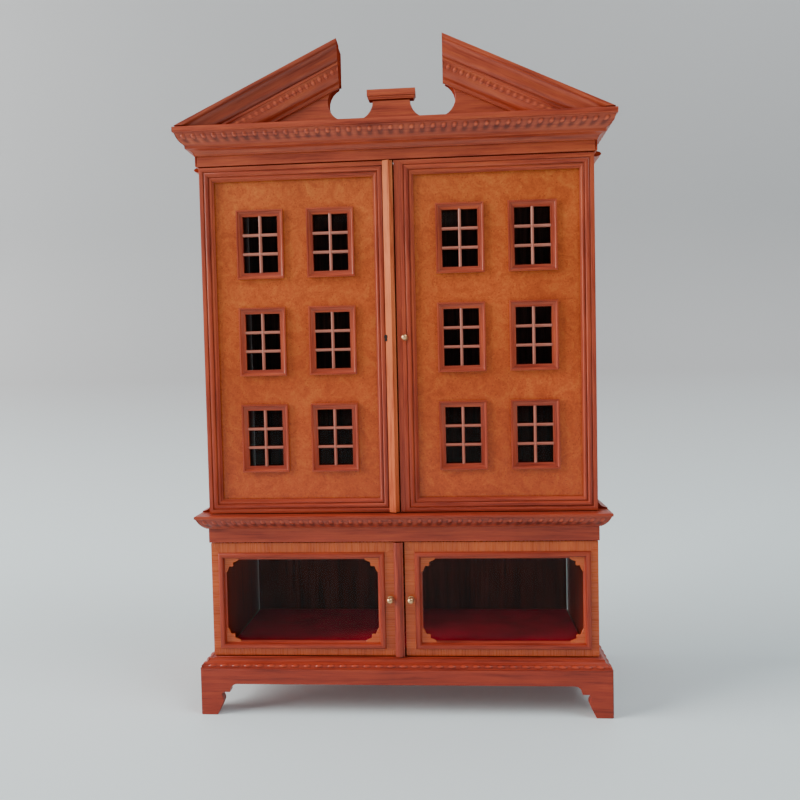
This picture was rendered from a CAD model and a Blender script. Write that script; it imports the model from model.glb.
"""Finished surfaces for a miniature bookcase with a doll's house in its upper half.

Run as a script: each operator makes one piece, or a group of like pieces,
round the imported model, and main() calls them in order.
"""

import math

import bmesh
import bpy
import numpy as np
from bpy.props import FloatProperty, FloatVectorProperty, PointerProperty
from bpy.types import Operator, Panel, PropertyGroup
from mathutils import Matrix, Vector


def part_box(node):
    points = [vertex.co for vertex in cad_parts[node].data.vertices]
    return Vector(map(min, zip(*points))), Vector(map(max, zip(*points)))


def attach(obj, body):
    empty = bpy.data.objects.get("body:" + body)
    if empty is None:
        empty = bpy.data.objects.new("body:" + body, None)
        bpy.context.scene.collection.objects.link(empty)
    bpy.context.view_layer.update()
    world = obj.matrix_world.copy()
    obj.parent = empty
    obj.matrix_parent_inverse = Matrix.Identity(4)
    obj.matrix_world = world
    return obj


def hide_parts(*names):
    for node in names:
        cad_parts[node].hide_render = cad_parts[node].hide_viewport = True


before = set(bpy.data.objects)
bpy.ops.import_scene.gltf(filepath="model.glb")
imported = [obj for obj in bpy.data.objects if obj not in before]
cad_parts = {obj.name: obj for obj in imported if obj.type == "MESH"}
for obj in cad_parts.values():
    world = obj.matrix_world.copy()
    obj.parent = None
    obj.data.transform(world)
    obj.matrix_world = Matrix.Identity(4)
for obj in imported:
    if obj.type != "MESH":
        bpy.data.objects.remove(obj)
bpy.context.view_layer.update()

bl_info = {
    "name": "Miniature Bookcase",
    "version": (1, 0, 0),
    "blender": (4, 5, 0),
    "location": "View3D > Sidebar > Bookcase",
    "description": "Carved mouldings, veneers, sashes and fittings of a miniature bookcase",
    "category": "Object",
}

MM = 0.001
SIDES = ((-1, "left"), (1, "right"))

BACK_GAP = 0.05 * MM  # between a moulding's hidden back and the face behind it
FIT_GAP = 0.02 * MM  # between two mouldings one above the other
RAKE_WIDTH = 11.2 * MM  # of a raking moulding, square to its slope
PLINTH_CROWN = 2.6 * MM  # height of the plinth's carved moulding
DOOR_THICK = 3.8 * MM  # of an upper door's frame
PANEL_FACE = 1.4 * MM  # how far back an upper door's panel lies
SASH_FACE = 0.85 * MM  # how far back the glazing bars lie
BAR_STEP = 0.04 * MM  # how much lower the level glazing bars stand
CORNER_FACE, CORNER_THICK = 0.35 * MM, 0.55 * MM  # place and thickness of a lower door's corner pieces
KNOB_REACH = 2.7 * MM  # how far a knob stands out
KEYHOLE_INSET = 2.9 * MM  # from the left door's meeting edge
FINE_EDGE = 0.1 * MM  # wear of the small pieces' edges
CAMERA_EYE = (16.11, -241.56, 103.80)  # millimetres
CAMERA_YAW, CAMERA_PITCH, CAMERA_ROLL = -3.993, -2.273, -1.257  # degrees


def linear(code):
    """A colour's linear RGB from its sRGB hex code."""
    values = np.array([int(code[i:i + 2], 16) for i in (0, 2, 4)]) / 255
    return tuple(np.where(values <= 0.04045, values / 12.92, ((values + 0.055) / 1.055) ** 2.4).tolist())


def colour_property(name, description, code):
    """A colour swatch that starts from an sRGB hex code."""
    return FloatVectorProperty(
        name=name, description=description, subtype='COLOR', size=3, min=0, max=1, default=linear(code))


def length_property(name, description, millimetres):
    """A length in the scene's unit, given in millimetres."""
    return FloatProperty(
        name=name, description=description, unit='LENGTH', precision=5, min=0, default=millimetres * MM)


def power_property(name, description, watts):
    """A lamp's power."""
    return FloatProperty(name=name, description=description, unit='POWER', default=watts)


# ------------------------------------------------------------------ settings

class MouldingSettings(PropertyGroup):
    """Pitches and small sizes of the mouldings and their carving"""
    egg_pitch: length_property("Egg pitch", "Distance between the carved eggs of cornice and waist", 2.85)
    rake_pitch: length_property("Rake pitch", "Distance between the pearls of the rakes", 2.1)
    plinth_pitch: length_property("Plinth pitch", "Distance between the carved pearls of the plinth", 3.5)
    carving_depth: length_property("Carving depth", "Height of the carved eggs above the band", 0.26)
    edge_radius: length_property("Eased edge", "Radius worn on the moulding's corners", 0.14)
    mitre_gap: length_property("Mitre line", "Width of the dark line in a mitre", 0.06)
    frieze_return: length_property("Frieze return", "Thickness of the frieze along the sides", 0.6)
    side_bead: length_property("Side bead", "Projection of the bead along the sides", 2.6)
    pediment_pitch: FloatProperty(
        name="Pediment pitch", description="Slope of the raking mouldings", subtype='ANGLE',
        default=math.radians(25))


class DoorSettings(PropertyGroup):
    """Sizes of frames, strips, windows and beads"""
    frame_width: length_property("Frame width", "Width of the moulded frame of an upper door", 4.2)
    meeting_strip: length_property("Meeting strip", "Plain strip along the right meeting stile", 1.5)
    cover_strip: length_property("Cover strip", "Plain width behind the left door's cover strip", 1.8)
    cover_rise: length_property("Cover rise", "How far the left door's cover strip stands out", 0.9)
    rim_width: length_property("Window rim", "Raised outer rim of a window's architrave", 0.42)
    bar_width: length_property("Glazing bar", "Width of a sash's glazing bars", 0.85)
    window_bar: length_property("Architrave", "Width of a window's architrave", 1.85)
    bead_width: length_property("Bead width", "Width of the bead round the lower glass", 2.3)
    spandrel_leg: length_property("Spandrel leg", "How far a corner piece runs along the glass", 3.6)
    spandrel_scallop: length_property("Scallop", "Height of the waves along a corner piece", 0.36)


class FittingSettings(PropertyGroup):
    """Sizes of knobs, keyhole and lining"""
    knob_radius: length_property("Knob radius", "Radius of the turned brass knobs", 1.0)
    keyhole_height: length_property("Keyhole height", "Height of the keyhole in the left meeting stile", 1.9)
    baize_nap: length_property("Baize nap", "Unevenness of the lining's surface", 0.05)


class ColourSettings(PropertyGroup):
    """Colours of the finishes and the stage"""
    mahogany: colour_property("Mahogany", "Main colour of the polished mahogany", "AA442A")
    mahogany_dark: colour_property("Mahogany shade", "Dark streaks and pores of the mahogany", "7E2516")
    mahogany_light: colour_property("Mahogany light", "Light streaks of the mahogany", "BE5630")
    cover: colour_property("Cover strip", "Paler mahogany of the left door's cover strip", "DE7648")
    sash: colour_property("Sash mahogany", "Paler, worn mahogany of the glazing bars", "B8705E")
    burr: colour_property("Burr", "Main colour of the burr veneer", "BE5624")
    burr_dark: colour_property("Burr shade", "Pips and swirls of the burr veneer", "AA481C")
    burr_light: colour_property("Burr light", "Pale islands in the burr veneer", "CA6A2E")
    banding: colour_property("Cross-banding", "Main colour of the cross-banded veneer", "CE662C")
    banding_dark: colour_property("Cross-banding shade", "Dark streaks of the cross-banded veneer", "B8521E")
    banding_light: colour_property("Cross-banding light", "Light streaks of the cross-banding", "DA7A3A")
    carcase: colour_property("Carcase wood", "Stained wood inside the case", "6C362A")
    carcase_dark: colour_property("Carcase shade", "Dark grain inside the case", "4C261C")
    carcase_light: colour_property("Carcase light", "Light grain inside the case", "88463A")
    brass: colour_property("Brass", "Polished brass of knobs and pins", "DEAE80")
    baize: colour_property("Baize", "Crimson baize of the lining", "D01434")
    floor: colour_property("Floor", "Pale floor", "E2EEF0")
    wall: colour_property("Wall", "Backdrop behind the floor", "B2B2B3")


class StageSettings(PropertyGroup):
    """Lens and lamps"""
    lens: FloatProperty(name="Lens", description="Focal length of the camera", default=33.41, unit='CAMERA')
    key_power: power_property("Key light", "Power of the window light", 56.0)
    fill_power: power_property("Fill light", "Power of the front light", 1.3)
    floor_power: power_property("Floor light", "Power of the light over the floor", 7.0)
    sky: FloatProperty(name="Sky", description="Strength of the light from all round", default=0.19, min=0)


# ------------------------------------------------------------------ surfaces

def arc(centre, radii, start, end, count=8):
    """Points at equal angles, in degrees, along an ellipse's arc, both ends included."""
    angle = np.radians(np.linspace(start, end, count + 1))
    return np.column_stack((centre[0] + radii[0] * np.cos(angle), centre[1] + radii[1] * np.sin(angle)))


def bowed(start, end, bow, count=8):
    """Points from start to end, bowed to the right by a share of the length as half a sine wave."""
    t = np.linspace(0, 1, count + 1)[:, None]
    start, end = np.asarray(start), np.asarray(end)
    step = end - start
    return start + t * step + np.sin(t * math.pi) * bow * np.array((step[1], -step[0]))


def outline(*parts):
    """One list of points from arcs and single points, without repeats."""
    points = np.vstack([np.atleast_2d(part) for part in parts])
    step = np.linalg.norm(points - np.roll(points, 1, axis=0), axis=1)
    return points[step > 0.002 * MM]


def eased(points, radius, sharp=35.0):
    """A closed outline whose sharp corners are worn round.

    Each corner that turns by more than the sharp angle becomes three points:
    one on each side at the radius, and their curve's middle, which is a
    quarter of each plus half of the corner.
    """
    before = np.roll(points, 1, axis=0) - points
    after = np.roll(points, -1, axis=0) - points
    length_before = np.linalg.norm(before, axis=1, keepdims=True)
    length_after = np.linalg.norm(after, axis=1, keepdims=True)
    cosine = -(before * after).sum(1) / (length_before * length_after)[:, 0]
    turn = np.degrees(np.arccos(np.clip(cosine, -1, 1)))
    start = points + before / length_before * np.minimum(radius, 0.4 * length_before)
    end = points + after / length_after * np.minimum(radius, 0.4 * length_after)
    middle = (start + 2 * points + end) / 4
    choices = np.stack((start, middle, end), axis=1)
    is_corner = turn > sharp
    choices[~is_corner, 1] = points[~is_corner]
    keep = np.column_stack((is_corner, np.ones(len(points), bool), is_corner))
    return choices[keep]


def normals_of(points):
    """Unit normals of a closed outline, square to the line between each point's neighbours."""
    along = np.roll(points, -1, axis=0) - np.roll(points, 1, axis=0)
    normal = np.column_stack((along[:, 1], -along[:, 0]))
    area = np.sum(points[:, 0] * np.roll(points[:, 1], -1) - np.roll(points[:, 0], -1) * points[:, 1])
    normal = normal * (1 if area > 0 else -1)
    return normal / np.linalg.norm(normal, axis=1, keepdims=True)


def run_length(points):
    """Distance along a closed outline up to each of its points."""
    step = np.linalg.norm(points - np.roll(points, 1, axis=0), axis=1)
    step[0] = 0
    return np.cumsum(step)


def volume_sign(points, quads):
    """+1 if the quads' corners run anticlockwise seen from outside, else -1."""
    a, b, c, d = (points[quads[:, i]] for i in range(4))
    volume = (a * np.cross(b, c)).sum() + (a * np.cross(c, d)).sum()
    return 1 if volume > 0 else -1


def make_piece(name, points, quads, caps=(), grain=None, smooth=60.0, hollow=None):
    """A mesh object from points (n, 3), quads (m, 4) and end faces.

    grain holds a (u, v) pair in metres for each quad's corner, u along the
    grain. hollow says for each point how deep in the carving it lies.
    """
    sign = volume_sign(points, quads)
    order = slice(None) if sign > 0 else slice(None, None, -1)
    quads = quads[:, order]
    faces = quads.tolist() + [list(cap)[order] for cap in caps]
    mesh = bpy.data.meshes.new(name)
    mesh.from_pydata(points.tolist(), [], faces)
    layer = mesh.uv_layers.new(name="grain")
    uv = np.zeros((len(mesh.loops), 2), np.float32)
    if grain is not None:
        uv[:quads.size] = grain[:, order].reshape(-1, 2)
    corner = np.zeros(len(mesh.loops), np.int32)
    mesh.loops.foreach_get("vertex_index", corner)
    capped = corner[quads.size:]
    uv[quads.size:] = points[capped][:, [1, 2]]
    layer.uv.foreach_set("vector", uv.ravel())
    mesh.polygons.foreach_set("material_index", np.repeat([0, 1], (len(quads), len(caps))).astype(np.int32))
    if hollow is not None:
        shade = mesh.attributes.new("hollow", 'FLOAT', 'POINT')
        shade.data.foreach_set("value", np.asarray(hollow, np.float32))
    mesh.shade_smooth()
    mesh.set_sharp_from_angle(angle=math.radians(smooth))
    piece = bpy.data.objects.new(name, mesh)
    bpy.context.scene.collection.objects.link(piece)
    return piece


def grid_quads(first, second, i, j, count):
    """Quads between the points i and j of two stations' rows, each row count points long."""
    first, second = first[:, None] * count, second[:, None] * count
    return np.stack((first + i, second + i, second + j, first + j), axis=-1).reshape(-1, 4)


def skin(name, grid, directions, closed=False, across=None, smooth=60.0, hollow=None):
    """Cover a grid of points (stations, profile, 3) whose profile is a closed loop.

    The grain's u is a point's distance along the direction of its stretch,
    and v is its distance round the profile, shifted for every stretch.
    """
    stations, count = grid.shape[:2]
    points = grid.reshape(-1, 3)
    first = np.arange(stations if closed else stations - 1)
    second = (first + 1) % stations
    i = np.arange(count)
    j = (i + 1) % count
    quads = grid_quads(first, second, i, j, count)
    direction = np.repeat(np.asarray(directions)[first % len(directions)], count, axis=0)
    u = np.einsum('fck,fk->fc', points[quads], direction)
    if across is None:
        across = run_length(grid[0, :, 1:])
    around = np.append(across, across[-1] + np.linalg.norm(grid[0, 0] - grid[0, -1]))
    v = np.tile(np.column_stack((around[i], around[i], around[i + 1], around[i + 1])), (len(first), 1))
    v = v + np.repeat(0.037 * (first % len(directions)), count)[:, None]
    ends = ()
    if not closed:
        ends = (list(range(count))[::-1], list(range((stations - 1) * count, stations * count)))
    shade = None if hollow is None else np.asarray(hollow).reshape(-1)
    return make_piece(name, points, quads, ends, np.stack((u, v), axis=-1), smooth, shade)


def straight_run(name, section, along, ends, smooth=40.0):
    """A bar of one section between two ends along x (0) or z (2).

    The section's points are its places on the other level or upright axis
    and on y.
    """
    grid = np.zeros((2, len(section), 3))
    grid[..., 2 - along] = section[:, 0]
    grid[..., 1] = section[:, 1]
    grid[..., along] = np.array(ends)[:, None]
    return skin(name, grid, [np.eye(3)[along]], across=run_length(section), smooth=smooth)


def prism(name, edge, faces, smooth):
    """A flat piece with an edge of (x, z) points between two places on y."""
    count = len(edge)
    points = np.zeros((2, count, 3))
    points[..., 0] = edge[:, 0]
    points[..., 2] = edge[:, 1]
    points[..., 1] = np.array(faces)[:, None]
    points = points.reshape(-1, 3)
    i = np.arange(count)
    j = (i + 1) % count
    quads = np.column_stack((i, j, j + count, i + count))
    caps = (list(range(count))[::-1], list(range(count, 2 * count)))
    return make_piece(name, points, quads, caps, points[quads][..., [0, 2]], smooth)


def board_piece(name, low, high, along, radius):
    """A plain board between two corners with worn edges and grain along one axis.

    Each of its six faces is two corners' range in the other two axes. The
    grain's u is the place along the axis and v is the sum of the other two.
    """
    low = np.asarray(low)
    high = np.asarray(high)
    bits = np.array([[i & 1, i >> 1 & 1, i >> 2 & 1] for i in range(8)])
    points = low + bits * (high - low)
    quads = np.array([[0, 4, 6, 2], [1, 3, 7, 5], [0, 1, 5, 4], [2, 6, 7, 3], [0, 2, 3, 1], [4, 5, 7, 6]])
    corners = points[quads]
    others = [axis for axis in range(3) if axis != along]
    grain = np.stack((corners[..., along], corners[..., others].sum(-1)), axis=-1)
    piece = make_piece(name, points, quads, (), grain, 30.0)
    wear_edges(piece, radius)
    return piece


def wear_edges(piece, radius):
    """Round a piece's sharp edges a little, as handling and polish do."""
    bevel = piece.modifiers.new("worn edges", 'BEVEL')
    bevel.width = radius
    bevel.segments = 2
    bevel.limit_method = 'ANGLE'
    bevel.angle_limit = math.radians(40)
    bevel.harden_normals = False


def copy_of_node(node, name, along, radius, clip_above=None, sawn_edges=False):
    """A merged copy of a CAD node with worn edges and grain along one axis.

    With sawn_edges the faces that don't look forward or back are end grain.
    """
    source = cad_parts[node]
    bm = bmesh.new()
    bm.from_mesh(source.data)
    bmesh.ops.remove_doubles(bm, verts=bm.verts, dist=0.002 * MM)
    bmesh.ops.dissolve_limit(bm, angle_limit=math.radians(1), verts=bm.verts, edges=bm.edges)
    if clip_above is not None:
        everything = bm.verts[:] + bm.edges[:] + bm.faces[:]
        cut = bmesh.ops.bisect_plane(
            bm, geom=everything, plane_co=(0, 0, clip_above), plane_no=(0, 0, 1), clear_outer=True)
        rim = [item for item in cut["geom_cut"] if isinstance(item, bmesh.types.BMEdge)]
        bmesh.ops.contextual_create(bm, geom=rim)
    mesh = bpy.data.meshes.new(name)
    bm.to_mesh(mesh)
    bm.free()
    for layer in list(mesh.uv_layers):
        mesh.uv_layers.remove(layer)
    layer = mesh.uv_layers.new(name="grain")
    place = np.zeros(len(mesh.vertices) * 3, np.float32)
    mesh.vertices.foreach_get("co", place)
    corner = np.zeros(len(mesh.loops), np.int32)
    mesh.loops.foreach_get("vertex_index", corner)
    place = place.reshape(-1, 3)[corner]
    others = [axis for axis in range(3) if axis != along]
    layer.uv.foreach_set("vector", np.column_stack((place[:, along], place[:, others].sum(1))).ravel())
    mesh.shade_smooth()
    mesh.set_sharp_from_angle(angle=math.radians(30))
    if sawn_edges:
        facing = np.zeros(len(mesh.polygons) * 3, np.float32)
        mesh.polygons.foreach_get("normal", facing)
        is_edge = np.abs(facing.reshape(-1, 3)[:, 1]) < 0.5
        mesh.polygons.foreach_set("material_index", is_edge.astype(np.int32))
    piece = bpy.data.objects.new(name, mesh)
    bpy.context.scene.collection.objects.link(piece)
    wear_edges(piece, radius)
    return piece


def seat(piece, body, material, slot, *nodes, ends="end_grain"):
    """Give a piece its finish and slot, let it ride, and hide what it replaces.

    The ends of wooden pieces show end grain unless they have a finish of
    their own.
    """
    piece.data.materials.append(material)
    piece.data.materials.append(finish_named(ends) if slot == "mahogany" else material)
    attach(piece, body)
    if nodes:
        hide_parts(*nodes)
    return piece


def refinish(node, material):
    """Give a CAD node a better material in all its slots."""
    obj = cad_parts[node]
    for slot in obj.material_slots:
        slot.material = material


def low(node):
    """The lowest corner of a CAD node's box."""
    return np.array(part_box(node)[0])


def high(node):
    """The highest corner of a CAD node's box."""
    return np.array(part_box(node)[1])


# ------------------------------------------------------------------ carving

def egg_and_dart(place, height, pitch):
    """Relief from 0 to 1 of a row of small eggs in shallow cups, with darts between.

    place runs along the row and height from 0 at the band's foot to 1 at its
    top. An egg is half an ellipsoid that sits in the upper part of the band.
    A groove, a bell curve of the distance from its rim, makes its cup, a pit
    lies under it, and midway between two eggs stands a narrow ridge that
    thins toward the top.
    """
    cell = np.abs((place / pitch) % 1.0 - 0.5)
    rim = np.sqrt((cell / 0.18) ** 2 + ((height - 0.68) / 0.22) ** 2)
    egg = np.sqrt(np.clip(1 - rim ** 2, 0, None))
    groove = np.exp(-((rim - 1.3) / 0.3) ** 2)
    pit = np.exp(-(cell / 0.26) ** 2 - ((height - 0.28) / 0.18) ** 2)
    dart = np.exp(-((cell - 0.5) / 0.08) ** 2) * np.clip(1 - height, 0, 1) ** 0.5
    return egg - 0.30 * groove - 0.45 * pit + 0.25 * dart


def pearl_row(place, height, pitch):
    """Relief from 0 to 1 of a row of round pearls, about half the pitch wide."""
    cell = np.abs((place / pitch) % 1.0 - 0.5)
    rim = np.sqrt((cell / 0.27) ** 2 + ((height - 0.5) / 0.40) ** 2)
    pearl = np.sqrt(np.clip(1 - rim ** 2, 0, None))
    return pearl - 0.25 * np.exp(-((rim - 1.2) / 0.2) ** 2)


def carve(profile, band, place, pattern, pitch, depth):
    """Move a profile's band out along its normals by a carved pattern.

    profile is (k, 2) and band is a (k,) array that rises from 0 to 1 across
    the carved rows and is nan elsewhere; place is (s, k). The result is
    (s, k, 2) and the relief (s, k), which fades to nothing in the outer
    eighth of the band.
    """
    inside = ~np.isnan(band)
    height = np.where(inside, band, 0)
    fade = np.clip(np.minimum(height, 1 - height) * 8, 0, 1) * inside
    relief = pattern(place, height[None, :], pitch) * fade
    moved = profile[None] + (relief * depth)[..., None] * normals_of(profile)[None]
    return moved, relief


def case_sizes():
    """Half width, front face and back of the case, in metres."""
    rail_low, rail_high = low("waist_rail"), high("waist_rail")
    return rail_high[0], rail_low[1], high("side_left")[1]


def front_run(name, profile, band, settings, pattern, pitch):
    """A moulding across the front, mitred at 45 degrees at both ends.

    A point's x is its place along the run times the half width plus its own
    distance out, which makes the mitre, and its y is the face minus that
    distance.
    """
    half, face_y, _ = case_sizes()
    columns = max(2, int(round(2 * half / pitch)) * 9)
    t = np.linspace(-1, 1, columns + 1)
    depth = settings.carving_depth
    place = np.outer(t * half + pitch / 2, np.ones(len(profile)))
    moved, relief = carve(profile, band, place, pattern, pitch, depth)
    out = moved[..., 0]
    x = t[:, None] * (half + out - settings.mitre_gap / 2)
    grid = np.stack((x, face_y - out, moved[..., 1]), axis=-1)
    return skin(name, grid, [(1, 0, 0)], across=run_length(profile), hollow=relief)


def return_run(name, profile, band, settings, pattern, pitch, side, start_y=None):
    """A moulding along one side; it starts at a mitre, or square at start_y."""
    half, face_y, end_y = case_sizes()
    columns = max(2, int(round((end_y - face_y) / pitch)) * 9)
    t = np.linspace(0, 1, columns + 1)
    place = np.outer(t * (end_y - face_y), np.ones(len(profile)))
    moved, relief = carve(profile, band, place, pattern, pitch, settings.carving_depth)
    out = moved[..., 0]
    if start_y is None:
        begin = face_y - out + settings.mitre_gap / 2
    else:
        begin = np.full_like(out, start_y)
    y = begin + t[:, None] * (end_y - begin)
    grid = np.stack((side * (half + out), y, moved[..., 1]), axis=-1)
    return skin(name, grid, [(0, 1, 0)], across=run_length(profile), hollow=relief)


def mitred_round(kind, node, profile, band, settings, pattern, pitch):
    """A carved moulding across the front and along both sides; node is the front's CAD node, or None."""
    carved = finish_named("carved")
    names = {word: "carved_%s_%s" % (kind, word) for word in ("front", "left", "right")}
    pieces = {"front": front_run(names["front"], profile, band, settings, pattern, pitch)}
    for side, word in SIDES:
        pieces[word] = return_run(names[word], profile, band, settings, pattern, pitch, side)
    for word, piece in pieces.items():
        nodes = [node.replace("front", word)] if node else []
        seat(piece, "case", carved, "mahogany", *nodes)


def room_of(node):
    """Foot, top, reach in front of the case, and height of a moulding's CAD node."""
    foot, top = low(node)[2], high(node)[2]
    return foot, top, case_sizes()[1] - low(node)[1], top - foot


def mark_band(points, low_z, high_z):
    """Rows of a profile's front that lie between two heights, 0 to 1."""
    rows = np.full(len(points), np.nan)
    out = points[:, 0]
    inside = (points[:, 1] > low_z) & (points[:, 1] < high_z) & (out > out.min() + 0.05 * MM)
    height = (points[:, 1] - low_z) / (high_z - low_z)
    rows[inside] = height[inside]
    return rows


# ------------------------------------------------------------------ materials

# settings of the nodes that every finish uses
TINT = {"data_type": 'RGBA', "blend_type": 'MULTIPLY', "output": 2}  # first colour times second
BLEND = {"data_type": 'RGBA', "blend_type": 'MIX', "output": 2}
SCALE = {"operation": 'MULTIPLY_ADD', "output": 0}  # value times factor plus offset
SUM = {"operation": 'ADD', "output": 0}


def rgba(colour):
    """A colour with full opacity."""
    return (colour[0], colour[1], colour[2], 1.0)


def add_node(tree, kind, inputs=None, output=None, stops=(), **settings):
    """Add a shader node, set its properties, set or link its inputs, and give it or the output named.

    stops are the (position, colour) pairs of a colour ramp.
    """
    made = tree.nodes.new(kind)
    for key, value in settings.items():
        setattr(made, key, value)
    for key, value in (inputs or {}).items():
        if isinstance(value, bpy.types.NodeSocket):
            tree.links.new(value, made.inputs[key])
        else:
            made.inputs[key].default_value = value
    if stops:
        elements = made.color_ramp.elements
        while len(elements) < len(stops):
            elements.new(0.5)
        for element, (position, colour) in zip(elements, stops):
            element.position = position
            element.color = rgba(colour)
    return made if output is None else made.outputs[output]


def new_material(name):
    """An empty node material with its output."""
    material = bpy.data.materials.new(name)
    material.use_nodes = True
    material.node_tree.nodes.clear()
    output = add_node(material.node_tree, "ShaderNodeOutputMaterial")
    return material, material.node_tree, output


def grain_coordinates(tree, along):
    """Coordinates in metres with x along the grain.

    along is None for the piece's own grain map, or 0, 1 or 2 for one axis of
    a plain board.
    """
    if along is None:
        return add_node(tree, "ShaderNodeUVMap", output="UV", uv_map="grain")
    place = add_node(tree, "ShaderNodeTexCoord", output="Object")
    turn = {0: (0, 0, 0), 1: (0, 0, -math.pi / 2), 2: (0, math.pi / 2, 0)}[along]
    return add_node(tree, "ShaderNodeMapping", {"Vector": place, "Rotation": turn}, "Vector")


def streaks(tree, coordinates, length, width, detail, roughness=0.6, distortion=0.0):
    """Noise stretched along the grain, with features of a length and a width in metres."""
    scale = (1 / length, 1 / width, 1 / width)
    place = add_node(tree, "ShaderNodeMapping", {"Vector": coordinates, "Scale": scale}, "Vector")
    return add_node(tree, "ShaderNodeTexNoise", {
        "Vector": place, "Scale": 1.0, "Detail": detail,
        "Roughness": roughness, "Distortion": distortion}, "Fac")


def sunned(tree, colour, place, foot, crown):
    """A colour that deepens toward the case's foot and pales toward its crown, as daylight fades it."""
    height = add_node(tree, "ShaderNodeSeparateXYZ", {"Vector": place}, "Z")
    share = add_node(tree, "ShaderNodeMapRange", {
        "Value": height, "From Min": 0.0, "From Max": 180 * MM}, "Result")
    tint = add_node(tree, "ShaderNodeValToRGB", {"Fac": share}, "Color", ((0.0, foot), (1.0, crown)))
    return add_node(tree, "ShaderNodeMix", {0: 1.0, 6: colour, 7: tint}, **TINT)


def polished_mahogany(
        name, dark, main, light, along=None, carved=False, gloss=0.36, coat=0.05, pore=0.38, shine=0.40):
    """Polished mahogany: straight-grained, with short pores, under a hard wax and shellac polish.

    Ribbon streaks 1.6 mm wide give the colour's swing, pores 0.25 mm wide
    are short dark ticks, and slow blotches 9 mm across keep it from being
    even. In the carving the polish has gathered dark in the hollows.
    """
    material, tree, output = new_material(name)
    place = grain_coordinates(tree, along)
    ribbon = streaks(tree, place, 34 * MM, 1.6 * MM, 4.0, 0.62, 0.4)
    fine = streaks(tree, place, 9 * MM, 0.45 * MM, 3.0)
    blotch = streaks(tree, place, 16 * MM, 9 * MM, 2.0, 0.5)
    pores = streaks(tree, place, 2.6 * MM, 0.25 * MM, 1.0)
    faint = add_node(tree, "ShaderNodeMath", {0: fine, 1: 0.55, 2: -0.275}, **SCALE)
    mixed = add_node(tree, "ShaderNodeMath", {0: ribbon, 1: faint}, **SUM)
    figure = add_node(tree, "ShaderNodeValToRGB", {"Fac": mixed}, "Color", (
        (0.26, dark), (0.50, main), (0.78, light)))
    shade = add_node(tree, "ShaderNodeValToRGB", {"Fac": blotch}, "Color", (
        (0.30, (0.80, 0.76, 0.74)), (0.70, (1.0, 1.0, 1.0))))
    shaded = add_node(tree, "ShaderNodeMix", {0: 1.0, 6: figure, 7: shade}, **TINT)
    ticks = add_node(tree, "ShaderNodeValToRGB", {"Fac": pores}, "Color", (
        (0.60, (0, 0, 0)), (0.74, (1, 1, 1))))
    strength = add_node(tree, "ShaderNodeMath", {0: ticks, 1: pore, 2: 0.0}, **SCALE)
    colour = add_node(tree, "ShaderNodeMix", {0: strength, 6: shaded, 7: rgba(dark)}, **BLEND)
    if carved:
        depth = add_node(tree, "ShaderNodeAttribute", output="Fac", attribute_name="hollow")
        share = add_node(tree, "ShaderNodeMapRange", {
            "Value": depth, "From Min": -0.35, "From Max": 1.0}, "Result")
        worn = add_node(tree, "ShaderNodeValToRGB", {"Fac": share}, "Color", (
            (0.02, (0.46, 0.38, 0.40)), (0.24, (0.90, 0.86, 0.86)), (0.95, (1.30, 1.40, 1.42))))
        colour = add_node(tree, "ShaderNodeMix", {0: 1.0, 6: colour, 7: worn}, **TINT)
    upright = add_node(tree, "ShaderNodeTexCoord", output="Object")
    colour = sunned(tree, colour, upright, (0.80, 0.49, 0.43), (1.12, 1.28, 1.30))
    rough = add_node(tree, "ShaderNodeMath", {0: fine, 1: 0.16, 2: gloss - 0.08}, **SCALE)
    height = add_node(tree, "ShaderNodeMath", {0: pores, 1: -1.0, 2: 1.0}, **SCALE)
    normal = add_node(tree, "ShaderNodeBump", {
        "Height": height, "Strength": 0.3 * pore, "Distance": 0.03 * MM}, "Normal")
    shader = add_node(tree, "ShaderNodeBsdfPrincipled", {
        "Base Color": colour, "Roughness": rough, "Normal": normal,
        "IOR": 1.5, "Specular IOR Level": shine, "Specular Tint": (1.0, 0.92, 0.88, 1.0),
        "Coat Weight": coat, "Coat Roughness": 0.25}, "BSDF")
    tree.links.new(shader, output.inputs["Surface"])
    return material


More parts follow.
